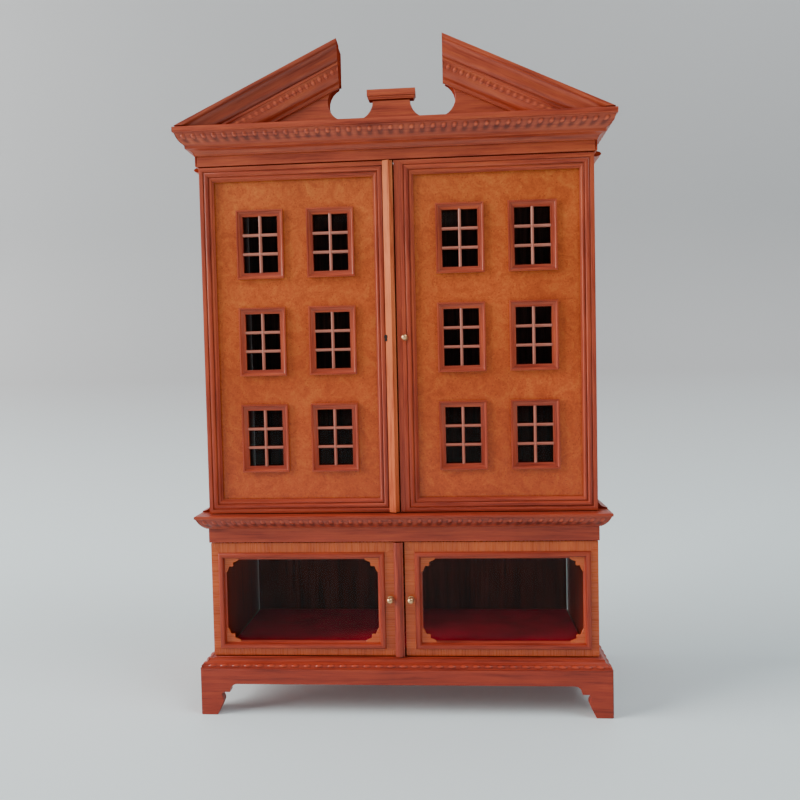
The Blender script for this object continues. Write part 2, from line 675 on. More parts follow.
def burr_veneer(name, dark, main, light):
    """Burr veneer: no straight grain, but islands and swirls 5 mm across with close-set pips.

    The pips are 1.15 mm apart, each a dark eye in a paler ring, and fine
    stipple of 0.7 mm lies between them, under a polish that shows both.
    """
    material, tree, output = new_material(name)
    place = add_node(tree, "ShaderNodeTexCoord", output="Object")
    swirl = add_node(tree, "ShaderNodeTexNoise", {
        "Vector": place, "Scale": 1 / (5.0 * MM), "Detail": 4.0, "Roughness": 0.62, "Distortion": 1.6}, "Fac")
    stipple = add_node(tree, "ShaderNodeTexNoise", {
        "Vector": place, "Scale": 1 / (0.7 * MM), "Detail": 2.0, "Roughness": 0.7, "Distortion": 0.6}, "Fac")
    warp = add_node(tree, "ShaderNodeTexNoise", {
        "Vector": place, "Scale": 1 / (2.2 * MM), "Detail": 1.0}, "Color")
    moved = add_node(tree, "ShaderNodeVectorMath", {0: warp, 3: 0.9 * MM}, "Vector", operation='SCALE')
    bent = add_node(tree, "ShaderNodeVectorMath", {0: place, 1: moved}, "Vector", operation='ADD')
    pips = add_node(tree, "ShaderNodeTexVoronoi", {
        "Vector": bent, "Scale": 1 / (1.15 * MM), "Randomness": 1.0}, "Distance")
    faint = add_node(tree, "ShaderNodeMath", {0: stipple, 1: 0.7, 2: -0.35}, **SCALE)
    mixed = add_node(tree, "ShaderNodeMath", {0: swirl, 1: faint}, **SUM)
    figure = add_node(tree, "ShaderNodeValToRGB", {"Fac": mixed}, "Color", (
        (0.28, dark), (0.50, main), (0.76, light)))
    eye = add_node(tree, "ShaderNodeValToRGB", {"Fac": pips}, "Color", (
        (0.10, (0.74, 0.68, 0.64)), (0.26, (1.05, 1.04, 1.0)), (0.60, (0.98, 0.98, 0.98))))
    slow = add_node(tree, "ShaderNodeTexNoise", {"Vector": place, "Scale": 1 / (22 * MM), "Detail": 1.0}, "Fac")
    cloud = add_node(tree, "ShaderNodeValToRGB", {"Fac": slow}, "Color", (
        (0.35, (0.90, 0.86, 0.84)), (0.65, (1.05, 1.05, 1.04))))
    colour = add_node(tree, "ShaderNodeMix", {0: 1.0, 6: figure, 7: eye}, **TINT)
    colour = add_node(tree, "ShaderNodeMix", {0: 1.0, 6: colour, 7: cloud}, **TINT)
    colour = sunned(tree, colour, place, (0.85, 0.47, 0.32), (1.06, 1.20, 1.18))
    rough = add_node(tree, "ShaderNodeMath", {0: stipple, 1: 0.14, 2: 0.26}, **SCALE)
    normal = add_node(tree, "ShaderNodeBump", {
        "Height": stipple, "Strength": 0.06, "Distance": 0.02 * MM}, "Normal")
    shader = add_node(tree, "ShaderNodeBsdfPrincipled", {
        "Base Color": colour, "Roughness": rough, "Normal": normal,
        "IOR": 1.5, "Specular IOR Level": 0.36, "Coat Weight": 0.05, "Coat Roughness": 0.2}, "BSDF")
    tree.links.new(shader, output.inputs["Surface"])
    return material


def turned_brass(name, colour):
    """Brass turned in a lathe and handled: fine rings from the tool and a faint brown tarnish."""
    material, tree, output = new_material(name)
    place = add_node(tree, "ShaderNodeTexCoord", output="Object")
    tarnish = add_node(tree, "ShaderNodeTexNoise", {
        "Vector": place, "Scale": 1 / (0.8 * MM), "Detail": 3.0}, "Fac")
    tint = add_node(tree, "ShaderNodeValToRGB", {"Fac": tarnish}, "Color", (
        (0.35, tuple(0.75 * c for c in colour)), (0.60, tuple(colour))))
    rings = streaks(tree, place, 0.06 * MM, 1.2 * MM, 2.0)
    normal = add_node(tree, "ShaderNodeBump", {
        "Height": rings, "Strength": 0.08, "Distance": 0.01 * MM}, "Normal")
    rough = add_node(tree, "ShaderNodeMath", {0: tarnish, 1: 0.15, 2: 0.30}, **SCALE)
    shader = add_node(tree, "ShaderNodeBsdfPrincipled", {
        "Base Color": tint, "Metallic": 1.0, "Roughness": rough, "Normal": normal}, "BSDF")
    tree.links.new(shader, output.inputs["Surface"])
    return material


def crimson_baize(name, colour):
    """Wool baize with a raised, brushed nap: matt, with a soft sheen and a slightly clouded pile."""
    material, tree, output = new_material(name)
    place = add_node(tree, "ShaderNodeTexCoord", output="Object")
    nap = add_node(tree, "ShaderNodeTexNoise", {
        "Vector": place, "Scale": 1 / (0.5 * MM), "Detail": 4.0, "Roughness": 0.75}, "Fac")
    pile = add_node(tree, "ShaderNodeTexNoise", {"Vector": place, "Scale": 1 / (7 * MM), "Detail": 2.0}, "Fac")
    faint = add_node(tree, "ShaderNodeMath", {0: pile, 1: 0.6, 2: -0.3}, **SCALE)
    mixed = add_node(tree, "ShaderNodeMath", {0: nap, 1: faint}, **SUM)
    tint = add_node(tree, "ShaderNodeValToRGB", {"Fac": mixed}, "Color", (
        (0.30, tuple(0.6 * c for c in colour)), (0.52, tuple(colour)),
        (0.75, tuple(min(1, 1.35 * c) for c in colour))))
    normal = add_node(tree, "ShaderNodeBump", {
        "Height": nap, "Strength": 0.5, "Distance": 0.12 * MM}, "Normal")
    shader = add_node(tree, "ShaderNodeBsdfPrincipled", {
        "Base Color": tint, "Roughness": 0.95, "Normal": normal, "Specular IOR Level": 0.05,
        "Sheen Weight": 0.1, "Sheen Roughness": 0.5, "Sheen Tint": rgba(colour)}, "BSDF")
    tree.links.new(shader, output.inputs["Surface"])
    return material


def sheet_glass(name, mirror=0.14):
    """Thin clear glass that mirrors only faintly, clouded a little by handling."""
    material, tree, output = new_material(name)
    place = add_node(tree, "ShaderNodeTexCoord", output="Object")
    cloud = add_node(tree, "ShaderNodeTexNoise", {"Vector": place, "Scale": 1 / (6 * MM), "Detail": 4.0}, "Fac")
    rough = add_node(tree, "ShaderNodeMath", {0: cloud, 1: 0.03, 2: 0.02}, **SCALE)
    clear = add_node(tree, "ShaderNodeBsdfTransparent", {"Color": (0.95, 0.96, 0.955, 1)}, 0)
    gloss = add_node(tree, "ShaderNodeBsdfGlossy", {"Color": (1, 1, 1, 1), "Roughness": rough}, 0)
    slant = add_node(tree, "ShaderNodeFresnel", {"IOR": 1.45}, 0)
    share = add_node(tree, "ShaderNodeMath", {0: slant, 1: mirror, 2: 0.0}, **SCALE)
    pane = add_node(tree, "ShaderNodeMixShader", {0: share, 1: clear, 2: gloss}, 0)
    tree.links.new(pane, output.inputs["Surface"])
    return material


def ebony_inlay(name):
    """Ebonised wood let into the stile, nearly black with a low polish."""
    material, tree, output = new_material(name)
    place = add_node(tree, "ShaderNodeTexCoord", output="Object")
    fine = streaks(tree, place, 0.2 * MM, 2 * MM, 2.0)
    tint = add_node(tree, "ShaderNodeValToRGB", {"Fac": fine}, "Color", (
        (0.3, linear("1A0E0A")), (0.7, linear("2E1A12"))))
    shader = add_node(tree, "ShaderNodeBsdfPrincipled", {
        "Base Color": tint, "Roughness": 0.45, "IOR": 1.5}, "BSDF")
    tree.links.new(shader, output.inputs["Surface"])
    return material


FINISHES = {}


def finish_named(key):
    """The finish of a kind of piece, made once."""
    if key in FINISHES:
        return FINISHES[key]
    tints = bpy.context.scene.bookcase_colours
    mahogany = (tints.mahogany_dark, tints.mahogany, tints.mahogany_light)
    banding = (tints.banding_dark, tints.banding, tints.banding_light)
    end_grain = (tints.mahogany_dark, tints.mahogany_dark, tints.mahogany)
    cover = (tints.mahogany, tints.cover, tints.cover)
    woods = {
        "mahogany": ("polished_mahogany", mahogany, {}),
        "carved": ("carved_mahogany", mahogany, {"carved": True}),
        "banding": ("cross_banded_satin_veneer", banding, {"gloss": 0.28}),
        "end_grain": ("mahogany_end_grain", end_grain, {"gloss": 0.75, "coat": 0.0, "shine": 0.0}),
        "cover": ("paler_mahogany", cover, {"gloss": 0.50, "coat": 0.0, "shine": 0.12}),
        "sash": ("sash_mahogany", (tints.mahogany, tints.sash, tints.sash), {"gloss": 0.40}),
    }
    for axis, letter in enumerate("xyz"):
        woods["carcase_" + letter] = (
            "stained_carcase_wood_" + letter, (tints.carcase_dark, tints.carcase, tints.carcase_light),
            {"along": axis, "gloss": 0.7, "coat": 0.0, "pore": 0.0, "shine": 0.05})
    others = {
        "burr": (burr_veneer, ("burr_veneer", tints.burr_dark, tints.burr, tints.burr_light)),
        "brass": (turned_brass, ("turned_brass", tints.brass)),
        "baize": (crimson_baize, ("crimson_baize", tints.baize)),
        "glass": (sheet_glass, ("sheet_glass",)),
        "ebony": (ebony_inlay, ("ebony_inlay",)),
    }
    if key in woods:
        name, colours, settings = woods[key]
        FINISHES[key] = polished_mahogany(name, *colours, **settings)
    else:
        maker, values = others[key]
        FINISHES[key] = maker(*values)
    return FINISHES[key]


# ------------------------------------------------------------------ case

class BOOKCASE_OT_case_boards(Operator):
    """Sides, waist rail and pedestal cap with worn edges, and the finish of the plain boards inside"""
    bl_idname = "bookcase.case_boards"
    bl_label = "Case boards"

    def execute(self, context):
        radius = context.scene.bookcase_mouldings.edge_radius
        mahogany = finish_named("mahogany")
        for node, along in (("side_left", 2), ("side_right", 2)):
            piece = board_piece("veneered_" + node, low(node), high(node), along, radius)
            seat(piece, "case", mahogany, "mahogany", node)
        for node, along in (("waist_rail", 0), ("bottom_board", 0), ("pediment_board", 0)):
            piece = copy_of_node(node, "worn_" + node, along, radius, sawn_edges=node == "pediment_board")
            seat(piece, "case", mahogany, "mahogany", node)
        for node in ("top_board", "waist_board", "storey_floor_lower", "storey_floor_upper"):
            refinish(node, finish_named("carcase_x"))
        refinish("back_panel", finish_named("carcase_z"))
        for level in ("bottom", "middle", "top"):
            refinish("room_partition_" + level, finish_named("carcase_y"))
        return {'FINISHED'}


def cornice_outline(settings):
    """(out, height) of the cornice: cavetto, fascia, carved ovolo and fillet."""
    base, top, out, rise = room_of("cornice_front")
    points = outline(
        (BACK_GAP, base),
        arc((0.47 * out, base), (0.35 * out, 0.22 * rise), 180, 90, 10),
        (0.49 * out, base + 0.225 * rise), (0.50 * out, base + 0.34 * rise),
        (0.56 * out, base + 0.38 * rise),
        bowed((0.56 * out, base + 0.38 * rise), (0.90 * out, base + 0.77 * rise), 0.10, 12),
        (0.95 * out, base + 0.78 * rise), (out, base + 0.79 * rise), (out, top), (BACK_GAP, top))
    points = eased(points, settings.edge_radius)
    return points, mark_band(points, base + 0.365 * rise, base + 0.755 * rise)


def waist_outline(settings):
    """(out, height) of the waist moulding: carved ovolo under a fillet."""
    base, top, out, rise = room_of("waist_moulding_front")
    points = outline(
        (BACK_GAP, base), (0.17 * out, base),
        bowed((0.17 * out, base + 0.02 * rise), (0.90 * out, base + 0.78 * rise), 0.07, 12),
        (out, base + 0.80 * rise), (out, top), (BACK_GAP, top))
    points = eased(points, settings.edge_radius)
    return points, mark_band(points, base + 0.04 * rise, base + 0.76 * rise)


class BOOKCASE_OT_cornice(Operator):
    """Cornice and waist moulding with carved eggs, mitred round the case"""
    bl_idname = "bookcase.cornice"
    bl_label = "Cornice and waist"

    def execute(self, context):
        settings = context.scene.bookcase_mouldings
        for kind, node, shape in (
                ("cornice", "cornice_front", cornice_outline),
                ("waist", "waist_moulding_front", waist_outline)):
            profile, band = shape(settings)
            mitred_round(kind, node, profile, band, settings, egg_and_dart, settings.egg_pitch)
        self.side_strips(settings)
        return {'FINISHED'}

    def side_strips(self, settings):
        """The parts of the returns that run behind the doors: frieze with bead, and cove."""
        face_y = case_sizes()[1]
        start_y = low("side_left")[1]
        frieze_top = low("cornice_front")[2] - FIT_GAP
        frieze_low = low("pediment_board")[2] + 0.05 * MM
        bead_low = low("cornice_left")[2]
        bead_out = settings.side_bead
        skirt = settings.frieze_return
        frieze = outline(
            (BACK_GAP, frieze_low), (skirt, frieze_low), (skirt, frieze_top), (BACK_GAP, frieze_top))
        bead = outline(
            (BACK_GAP, bead_low),
            arc((skirt, bead_low + 0.8 * MM), (bead_out - skirt, 0.8 * MM), -90, 90, 10),
            (BACK_GAP, bead_low + 1.6 * MM))
        cove_low = high("waist_moulding_front")[2] + FIT_GAP
        cove_high = high("waist_moulding_left")[2]
        out = face_y - low("waist_moulding_front")[1]
        rise = cove_high - cove_low
        cove = outline(
            (BACK_GAP, cove_low), (out - 0.1 * MM, cove_low), (out - 0.1 * MM, cove_low + 0.1 * rise),
            arc((out - 0.1 * MM, cove_high), (out - 0.7 * MM, 0.86 * rise), -90, -180, 10),
            (BACK_GAP, cove_high))
        for name, points, begin_y in (
                ("side_frieze", frieze, face_y), ("side_bead", bead, start_y), ("side_cove", cove, start_y)):
            points = eased(points, settings.edge_radius)
            band = np.full(len(points), np.nan)
            for side, word in SIDES:
                piece = return_run(
                    "%s_%s" % (name, word), points, band, settings, egg_and_dart, 20 * MM, side, begin_y)
                seat(piece, "case", finish_named("mahogany"), "mahogany")


# ------------------------------------------------------------------ plinth

class BOOKCASE_OT_plinth(Operator):
    """Bracket plinth: fretted boards below and a carved cyma along their top"""
    bl_idname = "bookcase.plinth"
    bl_label = "Plinth"

    def execute(self, context):
        settings = context.scene.bookcase_mouldings
        _, top, out, _ = room_of("plinth_front")
        shoulder = top - PLINTH_CROWN
        for node, along in (("plinth_front", 0), ("plinth_left", 1), ("plinth_right", 1)):
            piece = copy_of_node(node, "fretted_" + node, along, settings.edge_radius, shoulder - 0.03 * MM)
            seat(piece, "case", finish_named("mahogany"), "mahogany", node)
        profile = outline(
            (BACK_GAP, shoulder), (out, shoulder), (out, shoulder + 0.25 * MM),
            (out - 0.3 * MM, shoulder + 0.3 * MM),
            arc((out - 1.3 * MM, shoulder + 0.3 * MM), (0.95 * MM, 1.05 * MM), 0, 84, 14),
            arc((out - 1.1 * MM, top), (1.0 * MM, 1.15 * MM), -100, -180, 7), (BACK_GAP, top))
        profile = eased(profile, settings.edge_radius)
        band = mark_band(profile, shoulder + 0.35 * MM, shoulder + 1.35 * MM)
        mitred_round("plinth", None, profile, band, settings, pearl_row, settings.plinth_pitch)
        return {'FINISHED'}


# ------------------------------------------------------------------ pediment

class BOOKCASE_OT_pediment(Operator):
    """Raking mouldings with a carved band, and the moulded cap of the pedestal"""
    bl_idname = "bookcase.pediment"
    bl_label = "Pediment"

    def execute(self, context):
        settings = context.scene.bookcase_mouldings
        for side, word in SIDES:
            self.rake(settings, side, word)
        self.cap(settings)
        return {'FINISHED'}

    def rake(self, settings, side, word):
        """One raking moulding, upright at the gap and level on the cornice.

        Its profile is (out, drop), the drop square to the slope. Seen along
        the slope a point keeps its out and drop; its place runs from the
        upright plane at the gap to the level plane on the cornice.
        """
        node = "rake_moulding_" + word
        face_y = case_sizes()[1]
        out = face_y - low(node)[1]
        slope = math.tan(settings.pediment_pitch)
        lean = math.cos(settings.pediment_pitch)
        inner = min(abs(low(node)[0]), abs(high(node)[0]))
        peak = high(node)[2]
        foot = low(node)[2]
        width = RAKE_WIDTH
        profile = outline(
            (BACK_GAP, 0), (out, 0), (out, 0.09 * width),
            arc((0.95 * out, 0.27 * width), (0.20 * out, 0.17 * width), -90, -180, 8),
            arc((0.58 * out, 0.27 * width), (0.17 * out, 0.19 * width), 0, 90, 8),
            (0.56 * out, 0.47 * width), (0.60 * out, 0.48 * width), (0.60 * out, 0.53 * width),
            (0.53 * out, 0.54 * width),
            arc((0.20 * out, 0.56 * width), (0.31 * out, 0.34 * width), 0, 88, 18),
            (0.14 * out, 0.93 * width), (0.14 * out, width), (BACK_GAP, width))
        profile = eased(profile, settings.edge_radius)
        drop = profile[:, 1]
        band = np.full(len(profile), np.nan)
        inside = (drop > 0.56 * width) & (drop < 0.72 * width) & (profile[:, 0] > 0.16 * out)
        band[inside] = 1 - (drop[inside] - 0.56 * width) / (0.16 * width)
        length = (peak - foot) / math.sin(settings.pediment_pitch)
        pitch = settings.rake_pitch
        columns = int(round(length / pitch)) * 9
        t = np.linspace(0, 1, columns + 1)
        sine = math.sin(settings.pediment_pitch)
        place = drop * sine / lean + t[:, None] * ((peak - foot - drop / lean) / sine)
        moved, relief = carve(profile, band, place, pearl_row, pitch, 0.6 * settings.carving_depth)
        if side < 0:
            relief = relief - 0.18 * (drop < 0.47 * width)
        fall = moved[..., 1] / lean
        start = np.stack((np.full_like(fall, inner), face_y - moved[..., 0], peak - fall), axis=-1)
        end_x = inner + (peak - fall - foot) / slope
        end = np.stack((end_x, face_y - moved[..., 0], np.full_like(fall, foot)), axis=-1)
        grid = start + t[:, None, None] * (end - start)
        grid[..., 0] *= side
        direction = (side * lean, 0, -math.sin(settings.pediment_pitch))
        piece = skin("carved_rake_" + word, grid, [direction], across=run_length(profile), hollow=relief)
        seat(piece, "case", finish_named("carved"), "mahogany", node)

    def cap(self, settings):
        """The pedestal's cap: a slab with a small step under it, all round.

        Its half width and half depth at each height are those of the slab
        less the profile's inset, and the corners stay square.
        """
        node = "pedestal_cap"
        floor, crown = low(node), high(node)
        middle = (floor + crown) / 2
        size = (crown - floor) / 2
        rise = crown[2] - floor[2]
        worn = settings.edge_radius
        profile = outline(
            (0.55 * MM, 0), (0.45 * MM, 0.04 * rise),
            arc((0.45 * MM, 0.24 * rise), (0.20 * MM, 0.12 * rise), -90, -270, 6),
            (0.32 * MM, 0.34 * rise), (worn * 0.3, 0.35 * rise), (0, 0.39 * rise), (0, rise - worn),
            (worn * 0.3, rise - worn * 0.3), (worn, rise))
        inset, height = profile[:, 0], profile[:, 1]
        signs = np.array([(-1, -1), (1, -1), (1, 1), (-1, 1)])
        rings = np.zeros((4, len(profile), 3))
        rings[..., 0] = middle[0] + signs[:, None, 0] * (size[0] - inset)
        rings[..., 1] = middle[1] + signs[:, None, 1] * (size[1] - inset)
        rings[..., 2] = floor[2] + height
        count = len(profile)
        points = rings.reshape(-1, 3)
        i = np.arange(count - 1)
        corner = np.arange(4)
        quads = grid_quads(corner, (corner + 1) % 4, i, i + 1, count)
        grain = points[quads][..., [0, 2]]
        caps = ([c * count for c in (3, 2, 1, 0)], [c * count + count - 1 for c in range(4)])
        piece = make_piece("moulded_pedestal_cap", points, quads, caps, grain, 40.0)
        seat(piece, "case", finish_named("mahogany"), "mahogany", node)


# ------------------------------------------------------------------ doors

FRAME_GRAIN = [(1, 0, 0), (0, 0, 1), (1, 0, 0), (0, 0, 1)]


def ring(name, profile, rectangle, face_y, smooth=50.0):
    """A mitred frame: a closed profile of (inward, depth) carried round a rectangle.

    At each corner the profile leans along the diagonal: a point is the corner
    plus its inward distance along both sides, and its depth back from the
    face. The grain follows each side.
    """
    x0, x1, z0, z1 = rectangle
    corners = np.array([(x0, z0), (x1, z0), (x1, z1), (x0, z1)])
    lean = np.array([(1, 1), (-1, 1), (-1, -1), (1, -1)])
    grid = np.zeros((4, len(profile), 3))
    grid[..., 0] = corners[:, None, 0] + lean[:, None, 0] * profile[None, :, 0]
    grid[..., 2] = corners[:, None, 1] + lean[:, None, 1] * profile[None, :, 0]
    grid[..., 1] = face_y + profile[None, :, 1]
    return skin(name, grid, FRAME_GRAIN, closed=True, across=run_length(profile), smooth=smooth)


def upper_frame_outline(settings, radius):
    """(inward, depth) of an upper door's frame: flat, groove, bead, small bead and sight edge."""
    width = settings.frame_width
    sight = 1.0 * MM
    points = outline(
        (0, 0), (0.28 * width, 0), (0.30 * width, 0.42 * sight),
        arc((0.485 * width, 0.46 * sight), (0.155 * width, 0.46 * sight), 180, 360, 10),
        (0.655 * width, 0.72 * sight),
        arc((0.78 * width, 0.82 * sight), (0.105 * width, 0.36 * sight), 190, 350, 8),
        (0.90 * width, 0.98 * sight), (width, sight), (width, PANEL_FACE), (0.52 * width, PANEL_FACE),
        (0.52 * width, DOOR_THICK), (0, DOOR_THICK))
    return eased(points, radius)


class BOOKCASE_OT_upper_doors(Operator):
    """Moulded frames, burr panels, windows and glazing of the upper doors"""
    bl_idname = "bookcase.upper_doors"
    bl_label = "Upper doors"

    def execute(self, context):
        doors = context.scene.bookcase_doors
        radius = context.scene.bookcase_mouldings.edge_radius
        for side, word in SIDES:
            node = "door_frame_upper_" + word
            body = "upper_door_" + word
            floor, crown = low(node), high(node)
            strip = doors.meeting_strip if side > 0 else doors.cover_strip
            x0 = floor[0] + (strip if side > 0 else 0)
            x1 = crown[0] - (strip if side < 0 else 0)
            piece = ring(
                "moulded_frame_upper_" + word, upper_frame_outline(doors, radius),
                (x0, x1, floor[2], crown[2]), floor[1])
            seat(piece, body, finish_named("mahogany"), "mahogany", node)
            if side > 0:
                strip_piece = board_piece("meeting_strip_right", floor, (x0, crown[1], crown[2]), 2, FINE_EDGE)
            else:
                strip_piece = self.cover(doors, x1, floor, crown)
            seat(strip_piece, body, finish_named("mahogany" if side > 0 else "cover"), "mahogany")
            refinish("door_panel_upper_" + word, finish_named("burr"))
            refinish("window_glazing_" + word, finish_named("glass"))
            for number in range(1, 7):
                self.window(doors, "window_%s_%d" % (word, number), body)
        return {'FINISHED'}

    def cover(self, doors, inner, floor, crown):
        """The left meeting strip: its face slopes up from the frame to a ridge near the meeting edge."""
        edge, face, back = crown[0], floor[1], crown[1]
        flat = inner - 0.28 * doors.frame_width
        ridge = face - doors.cover_rise
        section = eased(np.array([
            (flat, face + 0.05 * MM), (flat, face - 0.04 * MM), (edge - 1.15 * MM, ridge),
            (edge - 0.95 * MM, ridge), (edge - 0.70 * MM, face - 0.05 * MM), (edge, face), (edge, back),
            (inner, back), (inner, face + 0.05 * MM)]), 0.07 * MM)
        return straight_run("meeting_cover_left", section, 2, (floor[2], crown[2]), 6.0)

    def window(self, doors, node, body):
        """A window: an architrave that slopes in from a raised rim, and a sash of six lights."""
        floor, crown = low(node), high(node)
        bar = doors.window_bar
        rim = doors.rim_width
        front, back = floor[1], crown[1]
        deep = back - front
        profile = eased(outline(
            (0, deep * 0.40), (0, 0), (rim, 0),
            arc((bar, 0.05 * MM), (bar - rim, 0.62 * MM), 180, 90, 7),
            (bar, deep), (bar * 0.45, deep), (bar * 0.45, deep * 0.40)), 0.07 * MM)
        name = node.replace("window", "sash")
        piece = ring(name, profile, (floor[0], crown[0], floor[2], crown[2]), front, smooth=40.0)
        seat(piece, body, finish_named("mahogany"), "mahogany", node)
        self.bars(doors, name + "_bars", body, floor, crown)

    def bars(self, doors, name, body, floor, crown):
        """One upright and two level glazing bars of half-round section, halved together.

        A bar's section is half an ellipse toward the front and flat behind.
        The level bars stand a hair lower, so the upright runs through.
        """
        half = doors.bar_width / 2
        inset = doors.window_bar - 0.05 * MM
        x0, x1 = floor[0] + inset, crown[0] - inset
        z0, z1 = floor[2] + inset, crown[2] - inset
        section = outline(arc((0, 0), (half, 0.36 * MM), 180, 360, 8), (half, 0.6 * MM), (-half, 0.6 * MM))
        middle = (x0 + x1) / 2
        pane = (z1 - z0) / 3
        face = floor[1] + SASH_FACE
        runs = [(section + (middle, face), 2, (z0, z1))]
        for row in (1, 2):
            runs.append((section + (z0 + row * pane, face + BAR_STEP), 0, (x0, x1)))
        for index, (moved, along, ends) in enumerate(runs):
            piece = straight_run("%s_%d" % (name, index + 1), moved, along, ends)
            seat(piece, body, finish_named("sash"), "mahogany")


def scalloped_plate(name, corner, turn, settings, face_y, thick):
    """A corner piece whose free edge is a wavy line across the glass's corner.

    The edge lies at a distance from the corner of the leg over the sum of the
    angle's cosine and sine, plus a cosine wave of eight times the angle. The
    two straight edges run a little under the bead.
    """
    angle = np.radians(np.linspace(0, 90, 33))
    reach = settings.spandrel_leg / (np.cos(angle) + np.sin(angle))
    reach = reach + settings.spandrel_scallop * np.cos(8 * (angle - math.pi / 4))
    tuck = 0.5 * MM
    x = reach * np.cos(angle)
    z = reach * np.sin(angle)
    edge = np.column_stack((x, z))
    edge = np.vstack(((edge[0, 0], -tuck), edge, (-tuck, edge[-1, 1]), (-tuck, -tuck)))
    edge = edge * turn + corner
    piece = prism(name, edge, (face_y, face_y + thick), 30.0)
    wear_edges(piece, FINE_EDGE)
    return piece


class BOOKCASE_OT_lower_doors(Operator):
    """Cross-banded frames, beads, corner pieces and glass of the lower doors"""
    bl_idname = "bookcase.lower_doors"
    bl_label = "Lower doors"

    def execute(self, context):
        settings = context.scene.bookcase_doors
        for _, word in SIDES:
            self.door(settings, word)
        self.astragal("meeting_astragal")
        return {'FINISHED'}

    def door(self, settings, word):
        """One lower door: banded frame, bead round the glass and four corner pieces."""
        node = "door_frame_lower_" + word
        body = "lower_door_" + word
        floor, crown = low(node), high(node)
        bead_low = low("glazing_bead_" + word)
        bead_high = high("glazing_bead_" + word)
        x0, x1, z0, z1 = bead_low[0], bead_high[0], bead_low[2], bead_high[2]
        overlap = 1.2 * MM
        thick = crown[1] - floor[1]
        outer = np.array([floor[0], crown[0], floor[2], crown[2]])
        inner = np.array([x0 + overlap, x1 - overlap, z0 + overlap, z1 - overlap])
        piece = self.banded_frame("cross_banded_frame_" + word, outer, inner, floor[1], thick)
        wear_edges(piece, FINE_EDGE)
        seat(piece, body, finish_named("banding"), "burr_veneer", node)

        width = settings.bead_width
        face = floor[1] - bead_low[1]
        bead = eased(outline(
            (0, face), (0.06 * width, 0.45 * face),
            arc((0.40 * width, 0.52 * face), (0.34 * width, 0.52 * face), 180, 300, 9),
            (0.62 * width, 0.30 * face),
            arc((1.02 * width, 0.10 * MM), (0.36 * width, 1.25 * MM), 175, 95, 8),
            (width, 1.9 * MM), (0.62 * width, 1.9 * MM), (0.62 * width, face)), 0.08 * MM)
        piece = ring("bolection_bead_" + word, bead, (x0, x1, z0, z1), bead_low[1])
        seat(piece, body, finish_named("mahogany"), "mahogany", "glazing_bead_" + word)

        sight = np.array([x0 + width, x1 - width, z0 + width, z1 - width])
        corners = (
            (sight[0], sight[2], 1, 1), (sight[1], sight[2], -1, 1),
            (sight[1], sight[3], -1, -1), (sight[0], sight[3], 1, -1))
        for index, (x, z, turn_x, turn_z) in enumerate(corners):
            piece = scalloped_plate(
                "corner_piece_%s_%d" % (word, index + 1), (x, z), (turn_x, turn_z), settings,
                floor[1] + CORNER_FACE, CORNER_THICK)
            seat(piece, body, finish_named("banding"), "mahogany", ends="banding")
        refinish("glass_pane_" + word, finish_named("glass"))

    def banded_frame(self, name, outer, inner, face_y, thick):
        """Four mitred members, each a prism, whose grain crosses their width."""
        points = np.zeros((4, 4, 3))
        for station, (a, b) in enumerate(((0, 2), (1, 2), (1, 3), (0, 3))):
            points[station, :, 0] = [outer[a], inner[a], inner[a], outer[a]]
            points[station, :, 2] = [outer[b], inner[b], inner[b], outer[b]]
            points[station, :, 1] = face_y + np.array([0, 0, thick, thick])
        across = np.array([0, 3.4, 6.8, 10.2]) * MM
        piece = skin(name, points, FRAME_GRAIN, closed=True, across=across, smooth=30.0)
        layer = piece.data.uv_layers["grain"]
        uv = np.zeros(len(piece.data.loops) * 2, np.float32)
        layer.uv.foreach_get("vector", uv)
        layer.uv.foreach_set("vector", uv.reshape(-1, 2)[:, ::-1].ravel())
        return piece

    def astragal(self, node):
        """The strip along the left door's meeting stile, of shallow half-round section."""
        floor, crown = low(node), high(node)
        half = (crown[0] - floor[0]) / 2
        deep = crown[1] - floor[1]
        section = eased(outline(
            (-half, deep), (-half, 0.5 * deep), (-0.72 * half, 0.42 * deep),
            arc((0, 0.40 * deep), (0.70 * half, 0.40 * deep), 180, 360, 14),
            (0.72 * half, 0.42 * deep), (half, 0.5 * deep), (half, deep)), 0.06 * MM)
        section = section + ((floor[0] + crown[0]) / 2, floor[1])
        piece = straight_run("rounded_meeting_astragal", section, 2, (floor[2], crown[2]))
        seat(piece, "lower_door_left", finish_named("mahogany"), "mahogany", node)


# ------------------------------------------------------------------ fittings

def turned(name, profile, centre, steps=40):
    """A turned piece whose axis runs along -y from its centre.

    A point at (radius, reach) goes round a circle of that radius in the x z
    plane, at that distance in front. The poles are closed by triangles that
    the welded first and last points make.
    """
    angle = np.linspace(0, 2 * math.pi, steps, endpoint=False)
    grid = np.zeros((steps, len(profile), 3))
    grid[..., 0] = centre[0] + np.cos(angle)[:, None] * profile[None, :, 0]
    grid[..., 2] = centre[2] + np.sin(angle)[:, None] * profile[None, :, 0]
    grid[..., 1] = centre[1] - profile[None, :, 1]
    count = len(profile)
    first = np.arange(steps)
    second = (first + 1) % steps
    i = np.arange(count - 1)
    quads = grid_quads(first, second, i, i + 1, count)
    ends = ([s * count for s in range(steps)][::-1], [s * count + count - 1 for s in range(steps)])
    return make_piece(name, grid.reshape(-1, 3), quads, ends, None, 50.0)


